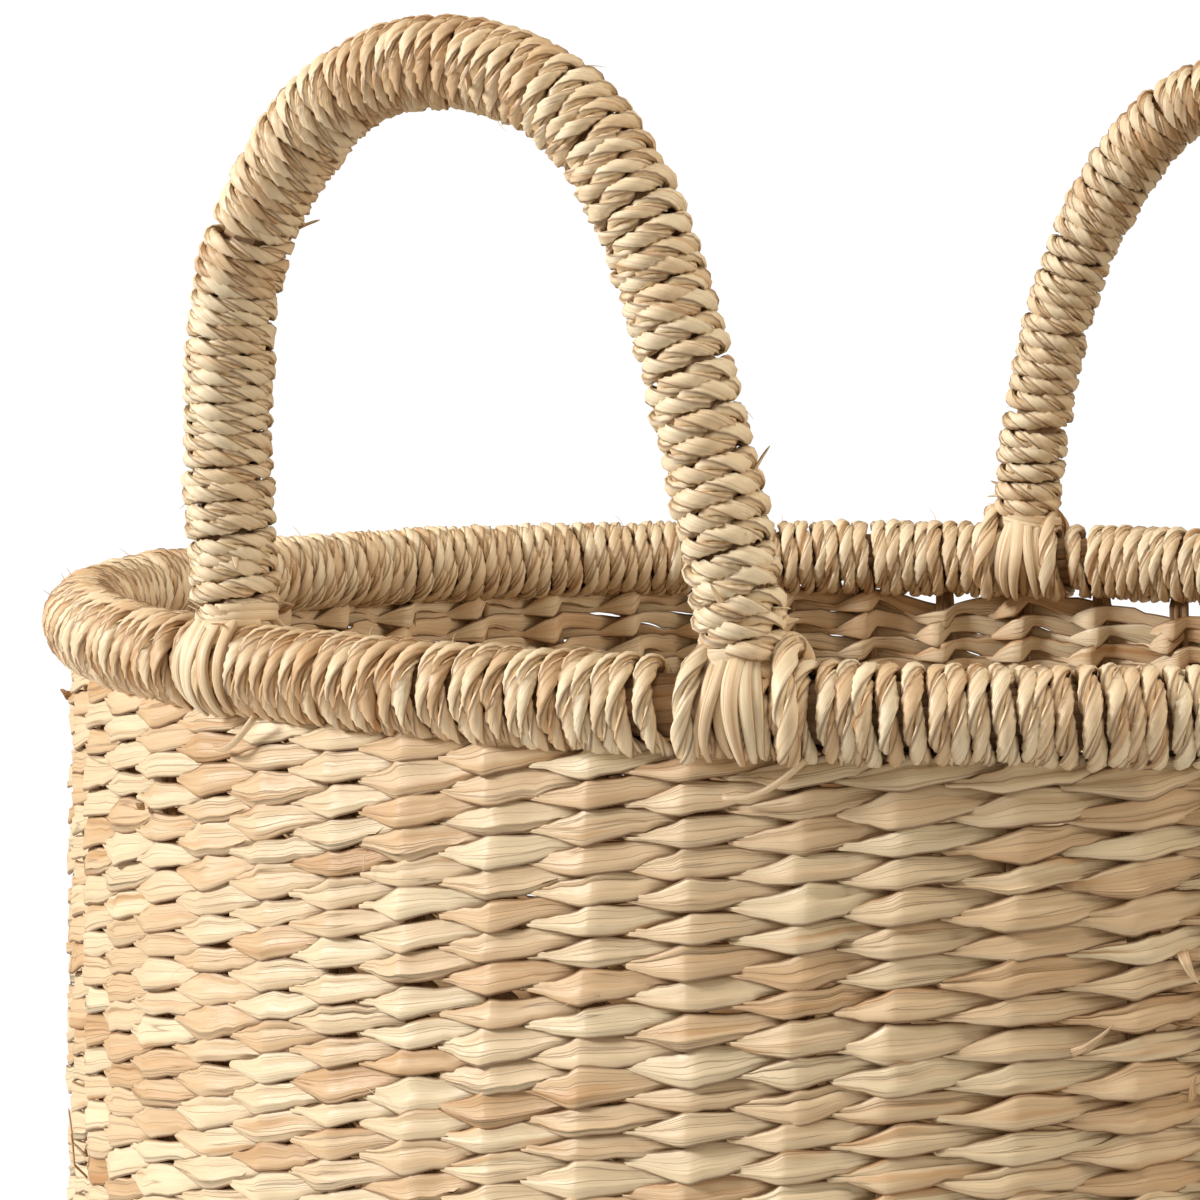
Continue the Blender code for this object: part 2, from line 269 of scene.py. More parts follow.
# Its upper and lower edges at some places, in rows from the row's middle, how much they vary there,
# and how much of its lean it has.
KEYS, TOP, BOTTOM, EDGE_CHANGE, LEAN_SHARE = np.array([
    (-0.62, -0.10, -0.38, 0.03, 1.0),
    (-0.43, 0.02, -0.44, 0.03, 1.0),
    (-0.30, 0.17, -0.52, 0.05, 0.9),
    (-0.13, 0.35, -0.59, 0.06, 0.7),
    (0.0, 0.60, -0.60, 0.03, 0.4),
    (0.15, 0.65, -0.48, 0.07, 0.6),
    (0.30, 0.69, -0.35, 0.08, 0.8),
    (0.45, 0.74, -0.22, 0.06, 1.0),
    (0.57, 0.76, -0.10, 0.05, 1.0),
    (0.72, 0.76, 0.08, 0.06, 0.3),
    (0.88, 0.72, 0.10, 0.06, 0.0),
    (1.0, 0.64, -0.50, 0.03, -0.2),
    (1.2, 0.40, -0.42, 0.05, 0.0),
]).T
KEY_IN_FRONT = KEYS < 0.65
NEAR_STAKE = np.clip(1 - np.abs(KEYS - np.round(KEYS)) / 0.45, 0, 1)
# How far it stands out (or in, where negative), as a share of its depth at the stake.
TURN_PLACES, TURN_DEPTHS = np.array([
    (-0.62, 0.38), (-0.43, 0.50), (-0.30, 0.63), (0.0, 1.0), (0.30, 0.57), (0.45, 0.37),
    (0.57, 0.25), (0.75, 0.12), (0.86, -0.05), (1.0, -1.0), (1.2, -0.66),
]).T
FACE_UP = 0.16              # the strands lean back a little, so each one's lower edge stands out
NARROWEST = 0.20            # a strand is never narrower than this, in rows
# A leaf strand's cross-section, folded once, round both faces: place across it, whether that place
# moves with the fold, depth, and how much the fold's step adds to the depth.
FOLD_ACROSS, FOLD_MOVES, FOLD_DEPTH, FOLD_STEP = np.array([
    (-1.0, 0, 0.15, 0), (-0.90, 0, 0.72, 0), (-0.50, 0, 0.98, 0), (-0.12, 1, 1.10, 0.25),
    (0.0, 1, 0.80, -0.55), (0.45, 0, 0.95, -0.1), (0.88, 0, 0.70, 0), (1.0, 0, 0.15, 0),
    (0.88, 0, -0.55, 0), (0.45, 0, -0.85, 0), (0.0, 0, -0.9, 0), (-0.5, 0, -0.85, 0),
    (-0.90, 0, -0.55, 0),
]).T
LEAF_HALF_THICK = 0.00066
ROW_LIFT = 0.0056           # the first row is pushed up against the rim,
LIFT_FADE = 0.16            # and the rows below it less and less, down to this way down the wall
ROW_WAVE = 0.12             # rows wander up and down by this share of their height
GAP_ROWS = 3                # on the back, the first rows hang lower in places and leave gaps
GAP_DROP = 0.0062
STAKE_WANDER = 0.13 * np.stack([smooth_noise([64], 15, 2000 + k) for k in range(STAKES)])


def stake_place(stake, way):
    """How far a stake leans to one side at a way down the wall, in stake spacings."""
    row = np.clip(way / ROW, 0, STAKE_WANDER.shape[1] - 2)
    low = row.astype(int)
    stake = np.mod(stake, STAKES).astype(int)
    fade = np.clip(way / 0.03, 0, 1) * np.clip((WALL_LENGTH - way) / 0.05, 0, 1)
    lean = STAKE_WANDER[stake, low] * (1 - row + low) + STAKE_WANDER[stake, low + 1] * (row - low)
    return fade * lean


def row_wave(count, number):
    """How far a row stands above its even place at each stake."""
    wave = ROW * ROW_WAVE * smooth_noise([count], 7, number // 4)
    if number < GAP_ROWS:
        back = np.clip(-np.cos(2 * pi * (np.arange(count) / count - 0.75)), 0, 1)
        drops = default_rng(77).uniform(-0.6, 1, count).clip(0)
        wave = wave - back * GAP_DROP * 0.45 ** number * drops
    return wave


def for_passes(local, pairs, low, high):
    """A random value for each pass in front and each pass behind, given at every place."""
    value = local.uniform(low, high, (pairs, 2))
    return np.where(PLACE_IN_FRONT, value[:, :1], value[:, 1:]).ravel()


def for_keys(local, pairs, low, high):
    """A random value for each pass in front and each pass behind, given at every key."""
    value = local.uniform(low, high, (2, pairs, 1))
    return np.where(KEY_IN_FRONT, value[0], value[1])


def strand_edges(local, first, count, number):
    """The strand's upper and lower edges at the keys, in rows from the row's middle."""
    size = (len(first), len(KEYS))
    top = TOP + EDGE_CHANGE * local.uniform(-1.3, 1, size)
    bottom = BOTTOM + EDGE_CHANGE * local.uniform(-1, 1, size)
    slim = local.uniform(-0.10, 0.08, (len(first), 1)) * (np.abs(KEYS) < 0.5)
    # both strands of a row share the changes at a stake, so that they still fit each other
    above = default_rng(9000 + number).uniform(-0.15, 0.15, (2, count))
    below = default_rng(9001 + number).uniform(-0.15, 0.15, (2, count))
    behind = np.where(KEY_IN_FRONT, 0, 1)
    stake = (first + behind) % count
    top = top + slim + above[behind, stake] * NEAR_STAKE
    bottom = bottom - slim + below[behind, stake] * NEAR_STAKE
    return top, np.minimum(bottom, top - NARROWEST)


def leaf_section(local, pairs, fold):
    """The strand's cross-section at every place: where across it, and how far out."""
    across = FOLD_ACROSS + FOLD_MOVES * fold[:, None]
    rough = local.uniform(-0.06, 0.06, (pairs, len(FOLD_ACROSS)))
    thick = FOLD_DEPTH + np.repeat(rough, len(PLACES), axis=0)
    thick = thick + FOLD_STEP * for_passes(local, pairs, 0.0, 1.3)[:, None]
    return across, thick * LEAF_HALF_THICK * for_passes(local, pairs, 0.85, 1.15)[:, None]


def twined_row(strands, way, count, number):
    """One row of twining: two strands that pass in front of every other stake and cross between."""
    local = default_rng(1000 + number)
    wave = row_wave(count, number)
    pairs = count // 2
    stakes = np.arange(count)
    for which in (0, 1):
        first = 2 * np.arange(pairs)[:, None] + which
        place = (first + PLACES).ravel()
        key_at = (first + KEYS).ravel()

        def along_row(values):
            return np.interp(place, key_at, values.ravel(), period=count)

        top, bottom = strand_edges(local, first, count, number)
        slide = for_keys(local, pairs, -0.07, 0.07) * NEAR_STAKE
        fold = for_keys(local, pairs, -0.50, 0.45)
        tilt = for_keys(local, pairs, -0.14, 0.14)
        tilt = tilt + local.uniform(-0.08, 0.08, tilt.shape) - FACE_UP * LEAN_SHARE
        top, bottom, fold, tilt = map(along_row, (top, bottom, fold, tilt))
        if count == STAKES:
            leans = stake_place(stakes, np.full(count, way))
            slide = slide + np.interp(first + KEYS, stakes, leans, period=count)
        share = (place + along_row(slide)) / count + 0.5 / STAKES
        turn = np.interp(np.tile(PLACES, pairs), TURN_PLACES, TURN_DEPTHS, period=2)
        depth = STRAND_DEPTH * turn * for_passes(local, pairs, 0.86, 1.16)
        middle = way - ROW * (top + bottom) / 2 - ROW_LIFT * np.clip(1 - way / LIFT_FADE, 0, 1)
        middle = middle - np.interp(place, stakes, wave, period=count)
        across, thick = leaf_section(local, pairs, fold)
        down = -(ROW * (top - bottom) / 2)[:, None] * across
        out = depth[:, None] + thick - down * tilt[:, None]
        rings = basket_surface(share[:, None], middle[:, None] + down, out)
        tone = 0.40 + 0.28 * smooth_noise([pairs], 4, 40 + 2 * number + which)
        tone = np.clip(tone + local.uniform(-0.32, 0.34, pairs), 0, 1)
        tone_at = (first + np.array([-0.85, 0.95])).ravel()
        tone = np.interp(place, tone_at, np.repeat(tone, 2), period=count)
        strands.add(rings, share * OVAL_LENGTH, across, tone, local.uniform(0, 100), closed=True)


def make_wall(material):
    """All the wall's rows, in bands, down to the edge of the base."""
    rows = int(WALL_LENGTH / ROW)
    number = 0
    for first in range(0, rows, ROWS_PER_PIECE):
        number += 1
        band = Strands()
        for row in range(first, min(first + ROWS_PER_PIECE, rows)):
            twined_row(band, (row + 0.5) * ROW, STAKES, row)
        nodes = ["wall_weave"] if number == 1 else []
        band.build(f"wall_band_{number:02d}", material, nodes)
    return rows


def base_sticks(left):
    """How many sticks are left at a share of the way out from the middle of the base."""
    if left > ALL_STICKS:
        return STAKES
    return STAKES // 2 if left > HALF_STICKS else STAKES // 4


def add_hub(base):
    """Flat strips that go over and under each other in the middle of the base."""
    t = np.linspace(-1, 1, HUB_STEPS)
    for k in range(HUB_STRIPS):
        beside = (k - (HUB_STRIPS - 1) / 2) * HUB_PITCH
        half_length = sqrt(max(HUB_RADIUS ** 2 - beside ** 2, 0.0)) + HUB_SPARE
        run = half_length * t
        still = np.full(HUB_STEPS, beside)
        for direction in (0, 1):
            over = np.cos(pi * (run / HUB_PITCH + k + direction))
            height = WAY_Z[-1] + BASE_DOME + HUB_WAVE * over
            path = np.stack([run, still, height] if direction else [still, run, height], -1)
            seed = 450 + 2 * k + direction
            ribbon(base, path, UP, HUB_HALF_WIDE, 0.3 + 0.07 * k, seed, half_thick=0.0006)


def make_base(material, first_row):
    """Rows of twining over the base in rings, with fewer sticks towards the middle, and a hub."""
    rows = 1 + int((WALL_LENGTH + BASE_RADIUS * HUB_AT) / ROW - first_row - 0.5)
    rings = 1 + (rows - 1) // ROWS_PER_PIECE
    for ring in range(rings):
        base = Strands()
        for row in range(ring * ROWS_PER_PIECE, min((ring + 1) * ROWS_PER_PIECE, rows)):
            way = (first_row + row + 0.5) * ROW
            count = base_sticks(1.0 - (way - WALL_LENGTH) / BASE_RADIUS)
            twined_row(base, way, count, 500 + row)
        if ring == rings - 1:
            add_hub(base)
        nodes = ["base_mat"] if ring == 0 else []
        base.build(f"base_ring_{ring + 1}", material, nodes)


# ---- two-ply cord ----
PLY_HALF_WIDE = 0.00168
PLY_HALF_THICK = 0.00112
PLY_OFFSET = 0.00100
CORD_SQUASH = 0.76          # the cord is pulled flat against what it winds round
CORD_HALF_THICK = (PLY_OFFSET + PLY_HALF_THICK) * CORD_SQUASH
PLY_ANGLE = np.linspace(0.0, 2.0 * pi, 12, endpoint=False)
TURN_STEPS = 28             # rings of points in each turn round the rim or a handle
CORE_FIBRES = 14            # fibres under the rim's cord
CORE_TURNS = 5              # how often they turn on their way round the rim
CORE_RADIUS = 0.0056
CORE_STEPS = 360


def unit(v):
    return v / np.maximum(np.linalg.norm(v, axis=-1, keepdims=True), 1e-12)


def long_noise(count, step, seed):
    """Smooth random values along a path, or one value all along a short one."""
    if count < 3 * step:
        return np.full(count, default_rng(seed).uniform(-1, 1))
    return smooth_noise([count], step, seed)


def tangents(path):
    """Unit directions along a path."""
    return unit(np.gradient(path, axis=0))


def uneven(n, *layers):
    """Smooth random values along a cord's turns: the size, length in turns and seed of each layer."""
    return sum(size * smooth_noise([n], int(TURN_STEPS * turns), seed) for size, turns, seed in layers)


def length_along(path):
    """The length of a path up to each of its points."""
    return np.concatenate([[0.0], np.cumsum(np.linalg.norm(np.diff(path, axis=0), axis=1))])


def frame_along(path, normal):
    """Unit directions away from what a path lies on and across it, and the length along it.

    normal is one direction, or one for each point, and is made square to the path.
    """
    tangent = tangents(path)
    normal = unit(normal - tangent * np.sum(normal * tangent, -1, keepdims=True))
    return normal, np.cross(tangent, normal), length_along(path)


def two_ply(strands, path, normal, seed, twist=RIM_TWIST, scale=1.0, brown=0.5, parts=1, part=0):
    """Two flat plies twisted round each other along a path, or one part of the path's length."""
    local = default_rng(seed)
    normal, side, length = frame_along(path, normal)
    n = len(path)
    scale = np.broadcast_to(scale, n)[:, None]
    phase = 2 * pi * length / twist + 0.5 * long_noise(n, 22, seed + 1) + local.uniform(0, 2 * pi)
    cut = slice(n * part // parts, n * (part + 1) // parts + 1)
    for ply in (0, 1):
        turn = (phase + ply * pi)[:, None]
        wide = PLY_HALF_WIDE * scale * (1 + 0.16 * long_noise(n, 17, seed + 3 + ply)[:, None])
        thick = PLY_HALF_THICK * scale * (1 + 0.14 * long_noise(n, 13, seed + 7 + ply)[:, None])
        fold = 1 + 0.13 * local.uniform(-1, 1, len(PLY_ANGLE))[None, :]
        fold = fold - 0.20 * (PLY_ANGLE[None, :] == PLY_ANGLE[local.integers(1, 6)])
        skew = 0.35 * long_noise(n, 15, seed + 9 + ply)[:, None]
        out = PLY_OFFSET * scale + thick * fold * np.cos(PLY_ANGLE + skew)
        beside = wide * fold * np.sin(PLY_ANGLE)
        along_normal = np.cos(turn) * out - np.sin(turn) * beside
        along_side = np.sin(turn) * out + np.cos(turn) * beside
        rings = (path[:, None, :] + CORD_SQUASH * along_normal[..., None] * normal[:, None, :]
                 + along_side[..., None] * side[:, None, :])
        tone = np.clip(brown + 0.5 * long_noise(n, 45, seed + 5 + ply), 0, 1)
        strands.add(rings[cut], length[cut], np.sin(PLY_ANGLE), tone[cut], local.uniform(0, 100))


def ribbon(strands, path, normal, half_width, tone, seed, half_thick=0.00045):
    """One flat strand or leaf tip along a path. half_width is one value, or one for each point."""
    local = default_rng(seed)
    normal, side, length = frame_along(path, normal)
    angle = np.linspace(0, 2 * pi, 10, endpoint=False)
    fold = 1 + 0.12 * local.uniform(-1, 1, len(angle))
    half_width = np.broadcast_to(half_width, len(path))[:, None]
    thin = np.minimum(half_thick, half_width * 0.7)
    rings = (path[:, None, :] + (thin * fold * np.cos(angle))[..., None] * normal[:, None, :]
             + (half_width * np.sin(angle))[..., None] * side[:, None, :])
    strands.add(rings, length, np.sin(angle), tone, local.uniform(0, 100))


def rim_point(share, angle, radius):
    """Points round the rim's tube. Angle 0 is outward and a quarter turn is up."""
    point, outward, _ = oval(share)
    radial = outward * np.cos(angle)[..., None] + UP * np.sin(angle)[..., None]
    return point + UP * RIM_Z + radial * np.asarray(radius)[..., None], radial


def push_apart(share, gap, length, push, sharp, reach):
    """Move shares of a length away from a gap, by up to a push, and less further away from it."""
    away = (share - gap) * length
    return share + push / length * np.tanh(away / sharp) * np.exp(-(away / reach) ** 2)


def spread_for_feet(share):
    """Push the rim's turns apart just left of each handle foot, where the core shows."""
    for _, side, shape in HANDLES:
        for along in (shape[0][0], shape[-1][0]):
            gap = foot_share(along, side) - 0.0140 / OVAL_LENGTH
            share = push_apart(share, gap, OVAL_LENGTH, 0.0024, 0.0020, 0.022)
    return share


def make_rim(material, core_material):
    """The cord's close turns round the rim, over a core of fibres."""
    turns = int(OVAL_LENGTH / RIM_PITCH)
    n = turns * TURN_STEPS + 1
    turn = np.arange(n) / TURN_STEPS
    jitter = uneven(n, (0.20, 1, 11), (0.12, 1 / 2, 12))
    stretch = 1 + WIDE_TURNS * np.exp(-((turn / turns - WIDE_TURNS_AT) / 0.08) ** 2)
    place = np.cumsum(stretch) / np.sum(stretch) + jitter * stretch / turns
    share = spread_for_feet(place)
    scale = RIM_CORD * stretch ** 0.8
    # browner turns round the left front are partly the cord's own colour; the paler turns elsewhere are
    # painted light where the key light falls weakly
    brown = 0.28 + 0.58 * np.exp(-((place - RIM_BROWN_AND_SHADE_AT) / 0.13) ** 2)
    loose = uneven(n, (0.0003, 2, 13), (0.00025, 1 / 3, 14))
    radius = RIM_TUBE + 0.0003 - scale * CORD_HALF_THICK + loose
    path, radial = rim_point(share, -2 * pi * turn, radius)
    parts = 3
    for part in range(parts):
        cord = Strands()
        two_ply(cord, path, radial, 21, scale=scale, brown=brown, parts=parts, part=part)
        nodes = ["rim_wrap"] if part == 0 else []
        cord.build(f"rim_cord_{part + 1}", material, nodes)
    make_core(core_material)


def make_core(material):
    """Flat fibres laid along the rim under the cord, in slow turns."""
    core = Strands()
    around = np.arange(CORE_STEPS) / CORE_STEPS
    for k in range(CORE_FIBRES):
        angle = 2 * pi * (k / CORE_FIBRES + CORE_TURNS * around)
        line, normal = rim_point(around, angle, np.full(CORE_STEPS, CORE_RADIUS))
        ribbon(core, line, normal, 0.0016, 0.5 + 0.4 * sin(5 * k), 600 + k, half_thick=0.0010)
    core.build("rim_core", material)


# ---- handles ----
def smooth_curve(points, steps):
    """A Catmull-Rom curve through the points, evenly spaced."""
    points = np.asarray(points, float)
    ends = np.vstack([2 * points[0] - points[1], points, 2 * points[-1] - points[-2]])
    t = np.linspace(0, 1, 60, endpoint=False)[:, None]
    dense = []
    for a, b, c, d in zip(ends, ends[1:], ends[2:], ends[3:]):
        square, cube = 2 * a - 5 * b + 4 * c - d, 3 * b - a - 3 * c + d
        dense.append(0.5 * (2 * b + (c - a) * t + square * t * t + cube * t ** 3))
    dense = np.vstack(dense + [points[-1:]])
    way = length_along(dense)
    wanted = np.linspace(0, way[-1], steps)
    return np.stack([np.interp(wanted, way, dense[:, k]) for k in range(3)], -1), way[-1]


def foot_share(along, side):
    """Share of the way round the rim at a handle's foot."""
    return (0.75 if side < 0 else 0.25) + along / OVAL_LENGTH


def handle_line(side, shape, steps):
    """Middle line of a handle, run on down in front of the rim at both feet."""
    first, last = shape[0][0], shape[-1][0]
    feet, _, _ = oval(np.array([foot_share(first, -1), foot_share(last, -1)]))
    slant = (feet[1, 1] - feet[0, 1]) / (last - first)
    points = [(along, feet[0, 1] + slant * (along - first), RIM_Z + rise) for along, rise in shape]
    points.insert(0, (points[0][0] + 0.0005, points[0][1] - 0.0035, RIM_Z + 0.004))
    points.append((points[-1][0] + 0.0020, points[-1][1] - 0.0035, RIM_Z + 0.004))
    line, length = smooth_curve(points, steps)
    if side > 0:
        line = line * np.array([-1.0, -1.0, 1.0])
    return line, length


def along_line(values, place):
    """Values of a line at shares of its length."""
    at = np.linspace(0, 1, len(values))
    return np.stack([np.interp(place, at, values[:, k]) for k in range(3)], -1)


def make_handle(word, side, shape, material):
    """The cord's turns round one handle, narrower at the feet."""
    line, length = handle_line(side, shape, 400)
    turns = int(length / HANDLE_PITCH)
    n = turns * TURN_STEPS
    turn = np.arange(n) / TURN_STEPS
    jitter = uneven(n, (0.26, 1, 31 + side), (0.16, 1 / 2, 35 + side))
    stretch = np.interp(turn / turns, (0.0, 0.4, 1.0), HANDLE_WIDTHS)
    place = np.clip(np.cumsum(stretch) / np.sum(stretch) + jitter * stretch / turns, 0, 1)
    if side < 0:
        place = push_apart(place, HANDLE_GAP_AT, length, 0.0009, 0.0010, 0.010)
    scale = HANDLE_CORD * stretch ** 0.8
    middle = along_line(line, place)
    tangent = unit(along_line(tangents(line), place))
    angle = 2 * pi * turn[:, None]
    radial = FORWARD * np.cos(angle) + np.cross(tangent, FORWARD) * np.sin(angle)
    from_foot = np.minimum(place, 1 - place) * length
    narrow = 0.0026 * np.exp(-(from_foot / 0.009) ** 2)
    loose = uneven(n, (0.00035, 2, 41 + side), (0.0003, 1 / 3, 43 + side))
    radius = HANDLE_TUBE + 0.0004 - scale * CORD_HALF_THICK - narrow + loose
    path = middle + radial * radius[:, None]
    # browner towards the handle's top, painted shade; the paler legs are painted light
    brown = 0.12 + 0.60 * np.exp(-((place - HANDLE_BROWN_AND_SHADE_AT) / 0.20) ** 2)
    cord = Strands()
    two_ply(cord, path, radial, 51 + side, twist=HANDLE_TWIST, scale=scale, brown=brown)
    cord.build(f"{word}_handle_cord", material, [f"{word}_handle_wrap"])


def lashing_path(share, top, low, face, lift):
    """From the handle's foot down over the rim, on its outer face (1) or its inner face (-1)."""
    t = np.linspace(0, 1, 28)
    angle = radians(96) - radians(152) * t
    offset = top + (low - top) * t ** 0.8 + 0.0007 * np.sin(2 * pi * t + 900 * top)
    angle = angle if face > 0 else pi - angle
    rise = lift + 0.0026 * np.exp(-((t - 0.05) / 0.20) ** 2)
    return rim_point(share + offset / OVAL_LENGTH, angle, RIM_TUBE + rise)


def collar(strands, share, rise, radius, seed):
    """A thin flat strand pulled twice round the handle just above the rim."""
    turn = np.linspace(0, 2.2, 70)
    point, outward, along = oval(np.full(len(turn), share))
    angle = 2 * pi * turn
    radial = along * np.cos(angle)[:, None] + outward * np.sin(angle)[:, None]
    height = RIM_Z + rise + 0.0016 * turn + 0.0012 * np.cos(angle)
    path = point + UP * height[:, None] + radial * radius
    half_width = 0.0013 + 0.0003 * np.sin(angle * 0.7 + seed)
    ribbon(strands, path, radial, half_width, 0.35, seed, half_thick=0.0006)


FRAYED_ENDS = 7             # at each foot's neck
# the strands of a foot's fan: kind, place at the top and at the bottom, size, and height over the rim
RIGHT_FAN = (
    ("cord", -0.0044, -0.0092, 1.12, 0.0012), ("flat", -0.0018, -0.0056, 0.0012, 0.0008),
    ("flat", -0.0006, -0.0034, 0.0013, 0.0018), ("flat", 0.0008, -0.0006, 0.0014, 0.0006),
    ("flat", 0.0022, 0.0024, 0.0017, 0.0022), ("flat", 0.0034, 0.0050, 0.0015, 0.0015),
    ("flat", 0.0044, 0.0074, 0.0012, 0.0006), ("cord", 0.0110, 0.0114, 1.20, 0.0010),
)
LEFT_FAN = (
    ("flat", -0.0054, -0.0086, 0.0013, 0.0003), ("flat", -0.0032, -0.0056, 0.0017, 0.0011),
    ("flat", -0.0010, -0.0024, 0.0012, 0.0019), ("cord", 0.0010, 0.0006, 0.88, 0.0007),
    ("flat", 0.0026, 0.0036, 0.0018, 0.0014), ("flat", 0.0050, 0.0068, 0.0014, 0.0004),
)


def add_fan(strands, local, share, along, seed):
    """The fan's cords and flat strands on both faces of the rim. Gives the last seed it used."""
    for face in (1, -1):
        for kind, top, low, size, lift in (LEFT_FAN if along < 0 else RIGHT_FAN):
            seed += 11
            low = low + local.uniform(-0.0008, 0.0008)
            path, radial = lashing_path(share, top, low, face, lift)
            if kind == "cord":
                two_ply(strands, path, radial, seed, twist=0.024, scale=size)
                continue
            half_width = size * (0.35 + 0.80 * np.sin(pi * np.linspace(0.22, 0.95, len(path))))
            ribbon(strands, path, radial, half_width, local.uniform(0.1, 0.8), seed, half_thick=0.0011)
    return seed


def add_crossing_strand(strands, share, seed):
    """One loose strand that hangs from the rim and crosses below the foot."""
    t = np.linspace(0, 1, 16)
    start, radial = rim_point(share + 0.0150 / OVAL_LENGTH, -0.9, RIM_TUBE + 0.0012)
    finish = basket_surface(share - 0.0020 / OVAL_LENGTH, 0.0030, 0.0048)
    sag = radial * 0.0016 - UP * 0.0012
    path = start + (finish - start) * t[:, None] + sag * np.sin(pi * t)[:, None]
    ribbon(strands, path, radial, 0.0008, 0.6, seed, half_thick=0.0006)


def add_frayed_ends(strands, local, share, seed):
    """Short ends that stand out round the neck of the foot."""
    point, outward, forward = oval(share)
    for k in range(FRAYED_ENDS):
        turn = local.uniform(0, 2 * pi)
        out = forward * cos(turn) + outward * sin(turn)
        root = point + UP * (RIM_Z + local.uniform(0.010, 0.022)) + out * 0.0078
        heading = unit(out + UP * local.uniform(-0.3, 1.0))
        path = root + local.uniform(0.003, 0.0075) * heading * np.linspace(0, 1, 8)[:, None]
        normal = np.cross(heading, forward)
        half_width = local.uniform(0.0004, 0.0012) * taper(8)
        ribbon(strands, path, normal, half_width, local.uniform(0.2, 1), seed + k, half_thick=0.0002)


def make_lashing(word, which, along, side, material):
    """The fan of cords and single strands that ties one handle foot over the rim."""
    share = foot_share(along, side)
    cord = Strands()
    seed = 700 + (100 if side > 0 else 0) + (200 if along > 0 else 0)
    local = default_rng(seed)
    seed = add_fan(cord, local, share, along, seed)
    collar(cord, share, 0.0096, 0.0080, seed)
    add_crossing_strand(cord, share, seed + 1)
    add_frayed_ends(cord, local, share, seed + 2)
    cord.build(f"{word}_{which}_lashing_cord", material, [f"{word}_{which}_lashing"])


# ---- stakes ----
STAKE_FIBRES = 4
FIBRE_PITCH = 0.00125
FIBRE_HALF_WIDE = 0.00095
FIBRE_HALF_THICK = 0.0009


def leg_ways(left):
    """Ways down the wall for the points of one stake leg, from a share of the base's radius up."""
    end = WALL_LENGTH + BASE_RADIUS * (1 - left)
    return np.concatenate([np.linspace(end, WALL_LENGTH, 12)[:-1], np.linspace(WALL_LENGTH, 0.0, 39)])


def stake_leg(share, ways, stake, wander, deep):
    """Points of one fibre of a stake's leg, with the stake's own lean."""
    lean = stake_place(np.full(len(ways), stake), ways) / STAKES
    return basket_surface(share + wander + lean, ways, deep)


def make_stakes(material):
    """Each bent stake as a flat bundle of fibres: up one channel, under the hoop and down the next."""
    for number in range(1, STAKES // 2 + 1):
        bundle = Strands()
        local = default_rng(300 + number)
        first = (2 * (number - 1) + 0.5) / STAKES
        last = first + 1 / STAKES
        ways = leg_ways(LAST_STICK_END if number % 2 else HALF_STICKS + 0.01)
        other_ways = leg_ways(ALL_STICKS + 0.01)[::-1]
        steps = len(ways)
        for k in range(STAKE_FIBRES):
            beside = (k - (STAKE_FIBRES - 1) / 2) * FIBRE_PITCH / OVAL_LENGTH
            wander = 0.0004 / OVAL_LENGTH * smooth_noise([steps], 8, 310 * number + k)
            deep = 0.0004 * smooth_noise([steps], 9, 320 * number + k)
            leg = stake_leg(first + beside, ways, 2 * number - 2, wander, deep)
            other = stake_leg(last - beside, other_ways, 2 * number - 1, -wander[::-1], deep[::-1])
            point, _, _ = oval(np.linspace(first + beside, last - beside, 12))
            top = point + UP * (RIM_Z - 0.0042 + 0.0004 * k)
            top[[0, -1], 2] -= 0.004
            line, _ = smooth_curve(np.vstack([leg, top, other]), 150)
            normal = line * np.array([1 / RIM_HALF_X ** 2, 1 / RIM_HALF_Y ** 2, 0.0])
            tone = local.uniform(0, 1)
            ribbon(bundle, line, normal, FIBRE_HALF_WIDE, tone, 330 * number + k, FIBRE_HALF_THICK)
        bundle.build(f"stake_bundle_{number:02d}", material, [f"stake_{number:02d}"])


# ---- loose ends ----
LOOSE_LEAVES = 100          # on the wall
LOOSE_HAIRS = 170           # on the wall and the rim
HANDLE_ENDS = 26            # on each handle, every fourth one a leaf


def taper(steps, sharp=0.55):
    """Width along a leaf end, full at the root and pointed at the tip."""
    t = np.linspace(0, 1, steps)
    return np.clip(1 - t, 0.02, 1) ** sharp


def loose_leaf(strands, local, share, way, face):
    """A leaf's end that was pushed between two rows and stands off the wall a little."""
    steps = 12
    t = np.linspace(0, 1, steps)
    length = local.uniform(0.006, 0.014)
    heading = local.choice([local.uniform(0.2, 0.7), local.uniform(1.2, 2.0), local.uniform(-2.2, -1.0)])
    bend = local.uniform(-0.7, 0.7)
    direction = heading + bend * t
    sideways = length * np.cumsum(np.cos(direction)) / steps
    upward = length * np.cumsum(np.sin(direction)) / steps
    lift = local.uniform(0.0002, 0.0030)
    depth = 0.0022 + 0.0030 * np.clip(3.5 * t, 0, 1) + lift * t ** 2
    path = basket_surface(share + sideways / OVAL_LENGTH, way - upward, face * depth)
    _, outward, _ = oval(share + sideways / OVAL_LENGTH)
    half_width = local.uniform(0.0009, 0.0017) * taper(steps, local.uniform(0.3, 0.8))
    tone = local.uniform(0.55, 1.0)
    ribbon(strands, path, face * outward, half_width, tone, int(local.integers(1e6)), half_thick=0.00025)


def loose_hair(strands, root, heading, droop, length, seed):
    """One fine fibre that stands off the surface and bends over."""
    steps = 9
    t = np.linspace(0, 1, steps)[:, None]
    path = root + length * (heading * (t - 0.3 * t ** 2) + droop * t ** 2)
    normal = np.cross(heading, [0.31, 0.17, 0.93])
    ribbon(strands, path, normal, 0.00011 * taper(steps, 0.5), 0.45, seed, half_thick=0.0001)


def add_wall_hair(hairs, local, spot, turn, seed):
    """A fine fibre that stands off the wall and hangs a little."""
    _, outward, along = oval(spot)
    root = basket_surface(spot, local.uniform(0.004, 0.34), 0.0038)
    heading = unit(along * cos(turn) + UP * sin(turn) + 0.25 * outward)
    droop = -0.12 * outward - 0.25 * UP
    loose_hair(hairs, root, heading, droop, local.uniform(0.006, 0.020), seed)


